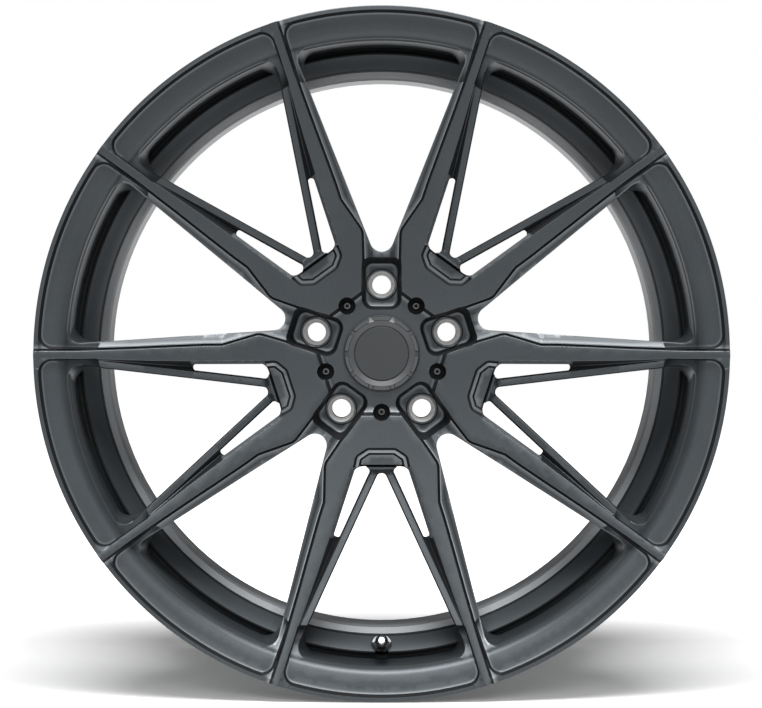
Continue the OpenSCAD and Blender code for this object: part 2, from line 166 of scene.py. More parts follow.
def on_spoke(s, t):
    """Point s along and t across a main spoke, in its pair's plan (x across, y outwards)."""
    s, t = np.asarray(s, float), np.asarray(t, float)
    return np.stack([s * math.sin(SPOKE_ANGLE) + t * math.cos(SPOKE_ANGLE),
                     s * math.cos(SPOKE_ANGLE) - t * math.sin(SPOKE_ANGLE)], -1)


def across_spoke(p):
    return p[:, 0] * math.cos(SPOKE_ANGLE) - p[:, 1] * math.sin(SPOKE_ANGLE)


def to_lug(p):
    """Plan of a pair turned into the plan of the lug beside it: x across, y outwards."""
    c, s = math.cos(PAIR_ANGLE), math.sin(PAIR_ANGLE)
    return np.stack([p[:, 0] * c - p[:, 1] * s, p[:, 0] * s + p[:, 1] * c], 1)


def from_lug(p):
    c, s = math.cos(PAIR_ANGLE), math.sin(PAIR_ANGLE)
    return np.stack([p[:, 0] * c + p[:, 1] * s, -p[:, 0] * s + p[:, 1] * c], 1)


def both_sides(half, radii):
    """Closed outline from its right half, given from the centre line round to the centre line."""
    half = np.array(half, float)
    left = half[::-1] * [-1, 1]
    keep = [i for i in range(len(left)) if abs(left[i, 0]) > 1e-9]
    return np.vstack([half, left[keep]]), list(radii) + [list(radii)[::-1][i] for i in keep]


def wedge_window(point, slope, root, corner, reach=WINDOW_R):
    """Window outline: two straight sides from a point on the centre line out to the circle of
    radius `reach`, its inner end and both outer corners rounded."""
    # where the side meets the outer circle: x = slope * (y - point), x^2 + y^2 = R^2
    a, b, c = 1 + slope ** 2, -slope ** 2 * point, slope ** 2 * point ** 2 - reach ** 2
    y = (-b + math.sqrt(b * b - a * c)) / a
    x = slope * (y - point)
    swing = math.atan2(x, y)
    outer = arc(reach, swing, -swing, 3.0)
    points = np.vstack([[[0, point]], outer])
    radii = [root, corner] + [0] * (len(outer) - 2) + [corner]
    # the rounded outer corners need room: drop the arc points that lie inside them
    gone = [i for i in range(2, len(points) - 1)
            if np.linalg.norm(points[[1, -1]] - points[i], axis=1).min() < corner * 1.3]
    points = np.delete(points, gone, 0)
    radii = [r for i, r in enumerate(radii) if i not in gone]
    return dense(round_corners(points, radii), STEP)


# Outlines in plan, each a few corner points with the radii of the corners
LAND_EDGE = [(127.4, 6.2), (141, 6.1), (167, 5.1), (199.5, 3.7), (224.5, 2.9), (241.8, 2.4), (275.2, 2.4)]
LAND_SLOT_EDGE = [(275.2, -3.3), (250, -3.5), (233, -3.8), (210, -4.7), (185, -5.5), (151, -6.0), (95, -5.7)]
half_land = ([(0, 50.2), (16.2, 50.2), (32.6, 71.4), (44.6, 89.0)] + [tuple(on_spoke(*p)) for p in LAND_EDGE]
             + [tuple(on_spoke(*p)) for p in LAND_SLOT_EDGE] + [(0, 93)])
land = dense(round_corners(*both_sides(half_land, [0, 0, 0, 9, 6] + [0] * 13)), STEP)
lug_window = wedge_window(LUG_POINT, LUG_SLOPE, 9.6, 9.0)
mid_window = wedge_window(STRUT_POINT, STRUT_SLOPE, 4.2, 9.0)
deep_lug_window = wedge_window(LUG_POINT + 3, LUG_SLOPE, 9.6, 13.0, 247.4)
deep_mid_window = wedge_window(STRUT_POINT + 3, STRUT_SLOPE, 4.2, 13.0, 247.4)


def strut_x(y):
    """Slot side of a strut: the window's edge moved over by the strut's width."""
    return STRUT_SLOPE * (y - STRUT_POINT) + STRUT_W * math.sqrt(1 + STRUT_SLOPE ** 2)


def spoke_x(y, t=SLOT_SHIFT):
    """Where the line at t across the spoke stands at height y of the plan."""
    return (y * math.sin(SPOKE_ANGLE) + t) / math.cos(SPOKE_ANGLE)


def rounded(points, radii):
    return dense(round_corners(points, radii), STEP)


slot = rounded([(strut_x(SLOT_START), SLOT_START), (spoke_x(SLOT_START), SLOT_START),
                (spoke_x(SLOT_END), SLOT_END), (strut_x(SLOT_END), SLOT_END)], [3.6, 5.2, 2.6, 2.2])
bracket = rounded([(-11.5, 75.8), (11.5, 75.8), (21.2, 82.2), (24.6, 98), (-24.6, 98), (-21.2, 82.2)],
                  [7, 7, 7, 0, 0, 7])
lug_pocket_top = rounded([(-16.2, 35.4), (16.2, 35.4), (16.2, 77.6), (-16.2, 77.6)], [9, 9, 7, 7])
lug_pocket_floor = rounded([(-13.2, 38), (13.2, 38), (13.2, 73.4), (-13.2, 73.4)], [6.5] * 4)


def rim_pocket(angle, outer, corner):
    """Pocket behind the flange: a sector of the given half angle up to the radius `outer`."""
    a = math.radians(angle)
    points = np.vstack([arc(225, -a, -a + 1e-3, 1)[:1], arc(outer, -a, a, 4.0), arc(225, a, a + 1e-3, 1)[:1]])
    radii = [2, corner] + [0] * (len(points) - 4) + [corner, 2]
    gone = [i for i in range(2, len(points) - 2)
            if np.linalg.norm(points[[1, -2]] - points[i], axis=1).min() < corner * 1.15]
    points = np.delete(points, gone, 0)
    radii = [r for i, r in enumerate(radii) if i not in gone]
    return dense(round_corners(points, radii), 3.0)


pair_pocket_floor, pair_pocket_top = rim_pocket(16.85, 268.7, 8.5), rim_pocket(17.12, 270.6, 10)
lug_pocket_rim_floor, lug_pocket_rim_top = rim_pocket(16.68, 268.7, 8.5), rim_pocket(17.06, 270.6, 10)


def pentagon(apothem):
    """Corners at the lugs' angles, with every side `apothem` from the middle."""
    a = PAIR_ANGLE * (2 * np.arange(PAIRS) + 1)
    return apothem / math.cos(PAIR_ANGLE) * np.stack([np.sin(a), np.cos(a)], 1)


recess_top, recess_floor = dense(pentagon(50.2), 3), dense(pentagon(47.4), 3)


def profile(d, steps):
    """Depth below a surface at distance d from its edge, straight between the given steps."""
    return np.interp(d, [s[0] for s in steps], [s[1] for s in steps])


def dish(r):
    """Depth of the spokes' tops behind the flange plane: deepest at the middle, with a power law."""
    return DISH_DEPTH * (1 - (r / (FLANGE_R - 4.0)) ** 1.6)


LUG_SIDE = [(-0.6, 0), (-0.3, 0.08), (0, 0.35), (1.0, 3.0), (2.0, 2.0), (2.8, 2.1), (8.5, 7.2), (16, 8.4)]
SLOT_SIDE = [(-0.6, 0), (-0.3, 0.08), (0, 0.35), (3.4, 8.2), (9, 22)]
STRUT_EDGE = [(-0.35, 0), (0, 0.2), (4, 5.0), (9, 12)]
BRACKET_STEPS = [(0, 0), (2.0, 3.6), (4.2, 3.2), (6.0, 6.6)]
POCKET_FLOOR = [(225, 28), (240, 20.5), (WINDOW_R, 14), (250.2, 12.4), (251.5, 10.8), (253.5, 9.2),
                (256, 8.0), (262, 6.6), (267.2, 5.6), (268.7, 4.7), (271, 4.7)]


def blend_between(p, floor_outline, top_outline):
    """1 inside the floor's outline, 0 outside the top's, and straight between the two."""
    inner, outer = distance(p, floor_outline), distance(p, top_outline)
    return np.clip(-outer / np.maximum(np.maximum(inner, 0) - outer, 1e-6), 0, 1) * (outer < 0)


def strut_distance(p):
    """Distance outside a strut's flat top: from the window's edge, or from the slot's side."""
    x, y = p[:, 0], p[:, 1]
    edge = (x - strut_x(y)) / math.sqrt(1 + STRUT_SLOPE ** 2) + 1.2
    beside = (y < SLOT_END - 6) & (x < (strut_x(y) + spoke_x(y)) / 2)
    return np.maximum(0.9 - distance(p, mid_window), np.where(beside, 1.2 - distance(p, slot), edge))


def strut_drop(r):
    """How far a strut's top lies below the spokes' tops: it rises towards the rim."""
    return np.interp(r, [92, 150, 222], [10.0, 5.5, 1.0])


def valley_gap(d, strut_d, r):
    """Depth between the spoke's side and the strut's, 0 along the bottom of their valley."""
    return profile(d, SLOT_SIDE) - strut_drop(r) - profile(strut_d, STRUT_EDGE)


def front_depth(p):
    """Depth of the face behind the flange plane at plan points p of half a pair: spoke tops,
    their stepped sides, the struts, then every recess cut into them."""
    r = np.hypot(p[:, 0], p[:, 1])
    q = to_lug(p)
    top = dish(r)
    d = distance(p, land)
    lug_side = across_spoke(p) > 0
    depth = top + np.where(lug_side, profile(d, LUG_SIDE), profile(d, SLOT_SIDE))
    # stepped recess where the two struts start
    inside = -distance(p, bracket)
    root = np.clip((p[:, 1] - BAR_Y) / 1.4, 0, 1)
    within = (inside > 0) & ~lug_side & (p[:, 1] < BRACKET_END)
    depth = np.where(within, top + profile(inside, BRACKET_STEPS) + np.where(inside > 6, 4 * root, 0), depth)
    strut = top + strut_drop(r) + profile(strut_distance(p), STRUT_EDGE)
    depth = np.where(lug_side | (p[:, 1] < BRACKET_END), depth, np.minimum(depth, strut))
    # flange ring, and the webs between its pockets
    lip = profile(FLANGE_R - r, [(0, 0.5), (0.15, 0.2), (0.5, 0), (3, 0)])
    ring = np.where(r > 270.2, lip, top + np.interp(r, [224, 240, 258], [10, 6.5, 2.2]))
    depth = np.where(r > 224, np.minimum(depth, ring), depth)
    floor = profile(r, POCKET_FLOOR)
    for low, high, where in ((pair_pocket_floor, pair_pocket_top, p),
                             (lug_pocket_rim_floor, lug_pocket_rim_top, q)):
        g = blend_between(where, low, high)
        depth = depth + (np.maximum(floor, depth) - depth) * g
    # hub: recess round the cap, screw bores, lug pockets with their bosses
    g = blend_between(p, recess_floor, recess_top)
    lip = profile(-distance(p, recess_floor), [(0, -1.6), (0.6, -1.3), (3.6, 0)])
    depth = depth + (HUB_FLOOR + lip - depth) * g
    screw = np.hypot(p[:, 0], p[:, 1] - SCREW_R)
    depth = depth + (HUB_FLOOR + 9 - depth) * np.clip((SCREW_BORE_R - screw) / 0.7, 0, 1)
    g = blend_between(q, lug_pocket_floor, lug_pocket_top)
    fillet = profile(-distance(q, lug_pocket_floor), [(0, -1.0), (0.5, -0.35), (1.2, 0)])
    depth = depth + (LUG_FLOOR + fillet - depth) * g
    boss = np.hypot(q[:, 0], q[:, 1] - LUG_R)
    depth = np.where(g > 0.5, depth - 1.5 * np.clip((BOSS_R + 0.4 - boss) / 0.8, 0, 1), depth)
    # rounded edges of the windows
    edge = np.minimum(np.minimum(distance(p, mid_window), distance(p, slot)), distance(q, lug_window))
    return depth + profile(edge, [(0, 0.55), (0.18, 0.22), (0.6, 0)])


def painted_shade(p):
    """Painted shade: where the face is toned darker, on the steep walls of grooves and recesses, in place of the
    shade inside them.
    """
    r = np.hypot(p[:, 0], p[:, 1])
    q = to_lug(p)
    d = distance(p, land)
    lug_side = across_spoke(p) > 0
    inside = -distance(p, bracket)
    slot_d, mid_d, lug_d = distance(p, slot), distance(p, mid_window), distance(q, lug_window)
    dark = lug_side & (d > 0) & (d < 2.0)
    strut_d = strut_distance(p)
    valley = np.abs(valley_gap(d, strut_d, r))
    beyond = ~lug_side & (p[:, 1] > BRACKET_END)
    dark |= beyond & (p[:, 1] > SLOT_END) & (d > 0) & (strut_d > 0) & (valley > 0.7) & (r < 226)
    dark |= beyond & (r < 238) & (strut_d > 0) & (mid_d < 0.9)
    dark |= beyond & (strut_d > 0) & (slot_d < 1.2) & (d > 2.8) & (p[:, 1] < SLOT_END)
    walls = ((inside < 2.0) | ((inside > 4.2) & (inside < 6.0)) | ((inside > 6) & (p[:, 1] > BAR_Y)))
    dark |= ~lug_side & (inside > 0) & walls & (p[:, 1] < BRACKET_END)
    for low, high, where in ((pair_pocket_floor, pair_pocket_top, p), (recess_floor, recess_top, p),
                             (lug_pocket_rim_floor, lug_pocket_rim_top, q),
                             (lug_pocket_floor, lug_pocket_top, q)):
        g = blend_between(where, low, high)
        dark |= (g > 0.02) & (g < 0.98)
    screw = np.hypot(p[:, 0], p[:, 1] - SCREW_R)
    dark = dark | (screw < SCREW_BORE_R)
    boss = np.hypot(q[:, 0], q[:, 1] - LUG_R)
    in_pocket = distance(q, lug_pocket_floor) < 0
    dark = np.where(in_pocket, (boss > BOSS_R - 0.4) & (boss < BOSS_R + 0.4), dark)
    return dark & ~((lug_d < 0.6) & (d > 2.0))


def painted_highlight(p):
    """Painted highlight: how far, 0 to 1, the coat is drawn paler on rolled crests, foot fillets and edges of
    windows, where light catches them.
    """
    r = np.hypot(p[:, 0], p[:, 1])
    q = to_lug(p)
    d = distance(p, land)
    lug_side = across_spoke(p) > 0
    inside = -distance(p, bracket)
    light = np.where(lug_side & (d > 1.9), profile(d, [(1.9, 0.9), (2.8, 0.8), (4.4, 0.15), (5.6, 0)]), 0)
    beside_slot = ~lug_side & (d > 0) & (p[:, 1] < SLOT_END) & (p[:, 1] > 93)
    beside_slot &= p[:, 0] > (strut_x(p[:, 1]) + spoke_x(p[:, 1])) / 2
    light = np.maximum(light, np.where(beside_slot, 0.9, 0))
    lug_d, mid_d = distance(q, lug_window), distance(p, mid_window)
    light = np.maximum(light, profile(lug_d, [(0, 0.9), (0.6, 0.7), (2.0, 0)]) * (r < 246))
    light = np.maximum(light, profile(np.minimum(lug_d, mid_d), [(0, 0.3), (1.2, 0)]) * (r > 246))
    ledge = (inside > 1.9) & (inside < 4.3) & ~lug_side & (p[:, 1] < BRACKET_END)
    light = np.maximum(light, np.where(ledge, 0.8, 0))
    bar = profile(inside, [(5.9, 0.0), (6.0, 0.7), (7.2, 0)]) * ~lug_side * (p[:, 1] < BAR_Y)
    light = np.maximum(light, bar)
    rim_steps = [(0, 0.55), (0.8, 0.4), (1.8, 0)]
    for outline, where, steps, start in ((pair_pocket_floor, p, rim_steps, 256),
                                         (lug_pocket_rim_floor, q, rim_steps, 256),
                                         (recess_floor, p, [(0, 0.55), (0.6, 0.5), (2.6, 0)], 0),
                                         (lug_pocket_floor, q, [(0, 0.7), (1.2, 0.6), (4.0, 0)], 0)):
        into = -distance(where, outline)
        light = np.maximum(light, profile(into, steps) * (into > -0.05) * (r > start))
    strut_d = strut_distance(p)
    valley = np.abs(valley_gap(d, strut_d, r))
    in_valley = ~lug_side & (d > 0) & (strut_d > 0) & (p[:, 1] > SLOT_END) & (r < 224)
    light = np.where(in_valley, np.where(valley < 0.9, 0.8, 0), light)
    light = np.maximum(light, profile(np.abs(d), [(0, 0.3), (0.6, 0)]) * (d <= 0) * (r < 268))
    return light


def back_depth(p):
    """Depth of the face's inboard side: the spokes' backs, the cone of the hub and its flat pad
    with a lightening pocket behind each pair. Beyond the windows it hides inside the rim."""
    r = np.hypot(p[:, 0], p[:, 1])
    spokes = 46 + 42 * np.clip((248.5 - r) / 178.5, 0, 1) ** 1.9
    hub = profile(r, [(76.5, PAD_DEPTH), (78, PAD_DEPTH - 1.5), (80.5, 86), (90, 70)])
    depth = np.where(r < 90, np.maximum(spokes, hub), spokes)
    relief = distance(p, back_relief)
    depth = depth - profile(-relief, [(0, 0), (1.5, 12), (3.5, 14)])
    return np.where(r > 252, profile(r, POCKET_FLOOR) + 3, depth)


back_relief = rounded([(-7, 44.5), (7, 44.5), (17, 70), (0, 72), (-17, 70)], [5, 5, 5, 0, 5])


def circle(r, centre=(0.0, 0.0), step=2.0):
    return arc(r, 0, 2 * math.pi, step, centre)[:-1]


def triangulate(strings, fill_step, fill_gap, hull_test):
    """Triangles whose sides follow every string of points, with a loose grid of points between
    them, kept where hull_test says so."""
    points, sides = [], []
    count = 0
    for path, follows in strings:
        n = len(path)
        index = np.arange(n)
        keep = follows & np.roll(follows, -1) if follows[-1] else follows.copy()
        pairs = np.stack([index, (index + 1) % n], 1)[keep]
        points.append(path)
        sides.append(pairs + count)
        count += n
    points, sides = np.vstack(points), np.vstack(sides)
    # only what lies in or next to the half pair's wedge
    angle = np.degrees(np.arctan2(points[:, 0], points[:, 1]))
    near = (angle > -4) & (angle < 40)
    sides = sides[near[sides].all(1)]
    used = np.unique(sides)
    remap = -np.ones(count, int)
    remap[used] = np.arange(len(used))
    points, sides = points[used], remap[sides]
    # loose grid
    gx, gy = np.meshgrid(np.arange(0, 165, fill_step), np.arange(20, 280, fill_step * 0.87))
    gx = gx + (np.arange(gx.shape[0])[:, None] % 2) * fill_step / 2
    grid = np.stack([gx.ravel(), gy.ravel()], 1)
    grid = grid[hull_test(grid)]
    gap = ((points - grid[:, None]) ** 2).sum(2).min(1) ** 0.5
    grid = grid[gap > fill_gap]
    q = to_lug(grid)
    grid = grid[(grid[:, 0] > fill_gap * 0.8) & (q[:, 0] < -fill_gap * 0.8)]
    everything = np.vstack([points, grid])
    found = delaunay_2d_cdt([tuple(p) for p in everything], [tuple(map(int, s)) for s in sides], [], 0, 0.02)
    plan = np.array([tuple(v) for v in found[0]])
    faces = np.array([f for f in found[2] if len(f) == 3], int)
    middle = plan[faces].mean(1)
    faces = faces[hull_test(middle)]
    used = np.unique(faces)
    remap = -np.ones(len(plan), int)
    remap[used] = np.arange(len(used))
    return plan[used], remap[faces]


def in_half(p):
    return (p[:, 0] > 0) & (to_lug(p)[:, 0] < 0)


def in_face(p):
    r = np.hypot(p[:, 0], p[:, 1])
    q = to_lug(p)
    solid = (distance(p, mid_window) > 0) & (distance(p, slot) > 0) & (distance(q, lug_window) > 0)
    solid &= (r < FLANGE_R) & (r > CAP_SEAT_R) & (np.hypot(q[:, 0], q[:, 1] - LUG_R) > SEAT_R)
    return in_half(p) & solid


lug_centre = from_lug(np.array([[0, LUG_R]]))[0]
middle_line = np.array([[0, 25.0], [0, 279.0]])
wedge_sides = [whole(dense(line, 4.0, False), False)[0] for line in (middle_line, from_lug(middle_line))]


def limited(strings, keep):
    """The same strings without the points that `keep` refuses."""
    return [(path, follows & keep(path)) for path, follows in strings]


def at_lug(strings):
    return [(from_lug(path), follows) for path, follows in strings]


def face_strings():
    """Every edge that the face's front surface has to follow."""
    s = wedge_sides + whole(mid_window) + whole(slot) + whole(from_lug(lug_window))
    s += whole(circle(FLANGE_R, step=2.6)) + whole(circle(CAP_SEAT_R)) + whole(circle(SEAT_R, lug_centre))
    side = lambda p: across_spoke(p) > 0.5
    other = lambda p: across_spoke(p) < -0.5
    for d in (-0.6, -0.3, 0.0):
        s += offset(land, d) if d else whole(land)
    for d in (1.0, 2.0, 2.8, 5.6, 8.5):
        s += limited(offset(land, d), side)
    for outline, steps in ((mid_window, (0.18, 0.6, 0.9, 1.25)), (slot, (0.18, 0.6, 1.2, 1.55))):
        for d in steps:
            s += offset(outline, d)
    for d in (0.18, 0.6):
        s += at_lug(offset(lug_window, d))
    for d in (-2.0, -4.2, -6.0):
        s += limited(offset(bracket, d), other)
    s += limited(whole(bracket), other)
    for y in (BAR_Y, 91.0, BRACKET_END - 0.05, BRACKET_END + 0.05):
        s += whole(dense(np.array([[0, y], [16, y]]), 2, False), False)
    # strut tops and the valley between strut and spoke
    y = np.arange(SLOT_END - 4, 224, STEP)
    for gap in (-1.2, -1.55):
        x = strut_x(y) + gap * math.sqrt(1 + STRUT_SLOPE ** 2)
        s += whole(np.stack([x, y], 1), False)
    f = np.linspace(0.02, 0.98, 120)
    y = np.arange(SLOT_END - 2, 217, STEP)
    a, b = strut_x(y), spoke_x(y, -6.0)
    x = a[:, None] + (b - a)[:, None] * f
    grid = np.stack([x, np.broadcast_to(y[:, None], x.shape)], 2).reshape(-1, 2)
    gap = valley_gap(distance(grid, land), strut_distance(grid), np.hypot(grid[:, 0], grid[:, 1]))
    best = np.abs(gap.reshape(x.shape)).argmin(1)
    valley = np.stack([x[np.arange(len(y)), best], y], 1)
    for shift in (-0.4, 0.4):
        s += whole(valley + [shift, 0], False)
    # rim pockets and flange
    for outline in (pair_pocket_floor, pair_pocket_top):
        s += whole(outline)
    s += offset(pair_pocket_floor, -0.8) + offset(pair_pocket_floor, -1.8)
    s += at_lug(whole(lug_pocket_rim_floor) + whole(lug_pocket_rim_top))
    for d in (-0.8, -1.8):
        s += at_lug(offset(lug_pocket_rim_floor, d))
    for radius in (250.2, 251.5, 253.5, 256, 262):
        s += whole(circle(radius, step=3.2))
    for radius in (FLANGE_R - 0.15, FLANGE_R - 0.5):
        s += whole(circle(radius, step=2.6))
    for radius in (270.5, 270.75):
        s += limited(whole(circle(radius, step=1.2)), lambda p: np.abs(across_spoke(p)) < 4)
    # hub
    for outline in (recess_top, recess_floor):
        s += whole(outline)
    for d in (-0.6, -2.6, -3.6):
        s += offset(recess_floor, d)
    s += at_lug(whole(lug_pocket_top) + whole(lug_pocket_floor))
    for d in (-0.5, -1.2, -4.0):
        s += at_lug(offset(lug_pocket_floor, d))
    for radius in (BOSS_R - 0.4, BOSS_R + 0.4):
        s += whole(circle(radius, lug_centre, 1.2))
    for radius in (SCREW_BORE_R, SCREW_BORE_R - 0.7):
        s += whole(circle(radius, (0, SCREW_R), 1.0))
    return s


def rings_of(plan, depth, chain, kind):
    """The wall behind one edge of the front surface, as a list of (plan points, depths): from the
    front edge round a small radius and down to the inboard side."""
    p, d = plan[chain], depth[chain]
    r = np.hypot(p[:, 0], p[:, 1])
    if kind == "cap":
        way = unit(p)
        steps = [(CAP_SEAT_R, HUB_FLOOR + 2), (CAP_BORE_R, HUB_FLOOR + 2), (CAP_BORE_R, HUB_BORE_END),
                 (HUB_BORE_R, HUB_BORE_END), (HUB_BORE_R, PAD_DEPTH - 1.5), (HUB_BORE_R + 1.5, PAD_DEPTH)]
        return [(way * radius, np.full(len(p), z)) for radius, z in steps]
    if kind == "lug":
        way = unit(p - lug_centre)
        shoulder = LUG_FLOOR + 8.5
        steps = [(SEAT_R, shoulder), (7.75, shoulder), (7.75, PAD_DEPTH - 0.8), (8.6, PAD_DEPTH)]
        return [(lug_centre + way * radius, np.full(len(p), z)) for radius, z in steps]
    if kind == "flange":
        way = unit(p)
        return [(p, np.full(len(p), 2.2)), (way * (FLANGE_R - 2), np.full(len(p), 3.4))]
    # windows: the wall leans back under the face by its draft, and near the rim it leans the
    # other way, on to an outline with wider corners
    outline = {"mid": mid_window, "slot": slot, "lug": from_lug(lug_window)}[kind.split()[0]]
    way = steepest(p, outline)
    back = back_depth(p)
    shift = way * (1.6 if kind.startswith("slot") else 3.0)
    if not kind.startswith("slot"):
        deep = deep_mid_window if kind.startswith("mid") else from_lug(deep_lug_window)
        near = p
        for _ in range(3):
            near = near - steepest(near, deep) * distance(near, deep)[:, None]
        share = np.clip((r - 206) / 34, 0, 1)[:, None]
        share = share * share * (3 - 2 * share)
        shift = shift * (1 - share) + (near - p) * share
    shares = ((0.04, 0.06), (0.3, 0.5), (0.65, 0.85), (1.0, 1.0))
    return [(p + shift * sideways, d + (back - d) * down) for down, sideways in shares]


def steepest(p, outline, h=0.05):
    """Unit direction in which the distance to an outline grows fastest, by differences."""
    return unit(np.stack([distance(p + [h, 0], outline) - distance(p - [h, 0], outline),
                          distance(p + [0, h], outline) - distance(p - [0, h], outline)], 1) + 1e-9)


def build_face():
    """Half a pair's front and back surfaces with the walls between them, mirrored and turned into
    the whole face. Returns vertices in metres, triangles, the triangles' coat (0, or 1 for painted
    shade) and how pale each vertex is (painted highlight)."""
    plan, tri = triangulate(face_strings(), 5.0, 1.9, in_face)
    depth = front_depth(plan)
    # coat 1 is painted shade in grooves and recesses; the pale vertices are painted highlight
    coat = painted_shade(plan[tri].mean(1)).astype(int)
    light = painted_highlight(plan)
    # edges that only one triangle uses, apart from those on the wedge's own two sides
    sides = np.vstack([tri[:, [0, 1]], tri[:, [1, 2]], tri[:, [2, 0]]])
    key = np.sort(sides, 1)
    _, first, count = np.unique(key, axis=0, return_index=True, return_counts=True)
    rim = sides[first[count == 1]]
    middle = plan[rim].mean(1)
    on_wedge = (np.abs(middle[:, 0]) < 1e-3) | (np.abs(to_lug(middle)[:, 0]) < 1e-3)
    rim = rim[~on_wedge]
    middle = middle[~on_wedge]
    r = np.hypot(middle[:, 0], middle[:, 1])
    ql = to_lug(middle)
    kinds = {
        "cap": np.abs(r - CAP_SEAT_R) < 0.4,
        "flange": np.abs(r - FLANGE_R) < 0.4,
        "lug": np.abs(np.hypot(ql[:, 0], ql[:, 1] - LUG_R) - SEAT_R) < 0.4,
        "mid window": np.abs(distance(middle, mid_window)) < 0.3,
        "slot window": np.abs(distance(middle, slot)) < 0.3,
        "lug window": np.abs(distance(ql, lug_window)) < 0.3,
    }
    plans, depths, faces, coats, lights = [plan], [depth], [tri], [coat], [light]
    total = len(plan)
    last = np.full(len(plan), -1)      # the vertex at the foot of the wall below each edge vertex
    claimed = np.zeros(len(rim), bool)
    for kind, test in kinds.items():
        mine = rim[test & ~claimed]
        claimed |= test
        chain = np.unique(mine)
        local = -np.ones(len(plan), int)
        local[chain] = np.arange(len(chain))
        above = chain
        for ring_plan, ring_depth in rings_of(plan, depth, chain, kind):
            here = total + np.arange(len(chain))
            a, b = mine[:, 0], mine[:, 1]
            up_a, up_b = above[local[a]], above[local[b]]
            low_a, low_b = here[local[a]], here[local[b]]
            faces.append(np.stack([up_b, up_a, low_a], 1))
            faces.append(np.stack([up_b, low_a, low_b], 1))
            coats.append(np.zeros(2 * len(a), int))
            plans.append(ring_plan)
            depths.append(ring_depth)
            lights.append(np.zeros(len(chain)))
            total += len(chain)
            above = here
        last[chain] = above
    # inboard surface: the same edges, a looser grid
    strings = [string for ends in plan[rim] for string in whole(ends, False)]
    strings += wedge_sides
    for radius in (76.5, 78, 80.5):
        strings += whole(circle(radius, step=3))
    for d in (0.0, -1.5, -3.5):
        strings += offset(back_relief, d) if d else whole(back_relief)
    for radius in (251.0, 252.2):
        strings += whole(circle(radius, step=6))
    back_plan, back_tri = triangulate(strings, 8.0, 4.6, in_face)
    back = back_depth(back_plan)
    link = np.arange(len(back_plan)) + total
    rim_ids = np.flatnonzero(last >= 0)
    near = ((back_plan[:, None, :] - plan[rim_ids][None]) ** 2).sum(2)
    match = near.argmin(1)
    same = near.min(1) < 0.03 ** 2
    link[same] = last[rim_ids[match[same]]]
    faces.append(link[back_tri][:, ::-1])
    coats.append(np.zeros(len(back_tri), int))
    plans.append(back_plan)
    depths.append(back)
    lights.append(np.zeros(len(back)))
    half = np.column_stack([np.vstack(plans), np.concatenate(depths)])
    faces, coats = np.vstack(faces), np.concatenate(coats)
    half[np.abs(half[:, 0]) < 0.02, 0] = 0.0
    every, tris, coat_all = [], [], []
    for k in range(PAIRS):
        turn = 2 * PAIR_ANGLE * k + PAIR_ANGLE
        for mirror in (1, -1):
            px, py = half[:, 0] * mirror, half[:, 1]
            c, s = math.cos(turn), math.sin(turn)
            every.append(np.stack([px * c + py * s, half[:, 2], -px * s + py * c], 1))
            tris.append((faces if mirror == 1 else faces[:, ::-1]) + len(half) * (len(every) - 1))
            coat_all.append(coats)
    v, tris = np.vstack(every), np.vstack(tris)
    v[:, 1] += FLANGE_Y
    # weld the ten halves: one vertex where several share a place
    places = np.round(v * 500).astype(np.int64)
    _, first, which = np.unique(places, axis=0, return_index=True, return_inverse=True)
    tris = which.ravel()[tris]
    whole_ones = (tris[:, 0] != tris[:, 1]) & (tris[:, 1] != tris[:, 2]) & (tris[:, 2] != tris[:, 0])
    lights = np.tile(np.concatenate(lights), 2 * PAIRS)[first]
    return v[first] * MM, tris[whole_ones], np.concatenate(coat_all)[whole_ones], lights


def mesh_object(name, vertices, faces, coats=None, lights=None, crease=28):
    """A mesh object at the origin from whole arrays of vertices and triangles or quads, smooth
    but for edges sharper than `crease` degrees. `lights`, the painted highlight, goes to the vertices as "pale"."""
    mesh = bpy.data.meshes.new(name)
    faces = faces.tolist() if isinstance(faces, np.ndarray) else faces
    mesh.from_pydata(np.asarray(vertices).tolist(), [], faces)
    if coats is not None:
        mesh.polygons.foreach_set("material_index", np.asarray(coats, dtype=np.int32))
    if lights is not None:
        pale = mesh.attributes.new("pale", "FLOAT", "POINT")
        pale.data.foreach_set("value", np.asarray(lights, dtype=np.float32))
    mesh.update()
    mesh.shade_smooth()
    mesh.set_sharp_from_angle(angle=math.radians(crease))
    piece = bpy.data.objects.new(name, mesh)
    bpy.context.scene.collection.objects.link(piece)
    return piece


face = mesh_object("face_forging_skin", *build_face())


class Sum:
    """A shader socket that can be added, multiplied and compared like a number; every operation
    lays down one Math node in the same tree."""

    def __init__(self, tree, socket):
        self.tree, self.socket = tree, socket

    def math(self, operation, a, b, clamp=False):
        settings = {"operation": operation, "use_clamp": clamp}
        return add_node(self.tree, "ShaderNodeMath", settings, {0: a, 1: b})[0]

    def __add__(self, other):
        return self.math("ADD", self, other)

    def __sub__(self, other):
        return self.math("SUBTRACT", self, other)

    def __rsub__(self, other):
        return self.math("SUBTRACT", other, self)

    def __mul__(self, other):
        return self.math("MULTIPLY", self, other)

    __radd__, __rmul__ = __add__, __mul__

    def step(self, low, high):
        """0 below low, 1 above high, straight between."""
        return self.math("MULTIPLY", self - low, 1 / (high - low), clamp=True)


def connect(tree, target, value):
    """Gives an input socket its value, or links it where the value is a Sum."""
    if isinstance(value, Sum):
        tree.links.new(value.socket, target)
    else:
        target.default_value = value


def add_node(tree, kind, settings, sockets):
    """One shader node: its settings first, then its sockets' values or links; returns its outputs."""
    node = tree.nodes.new(kind)
    for name, value in settings.items():
        setattr(node, name, value)
    for name, value in sockets.items():
        connect(tree, node.inputs[name], value)
    return [Sum(tree, output) for output in node.outputs]


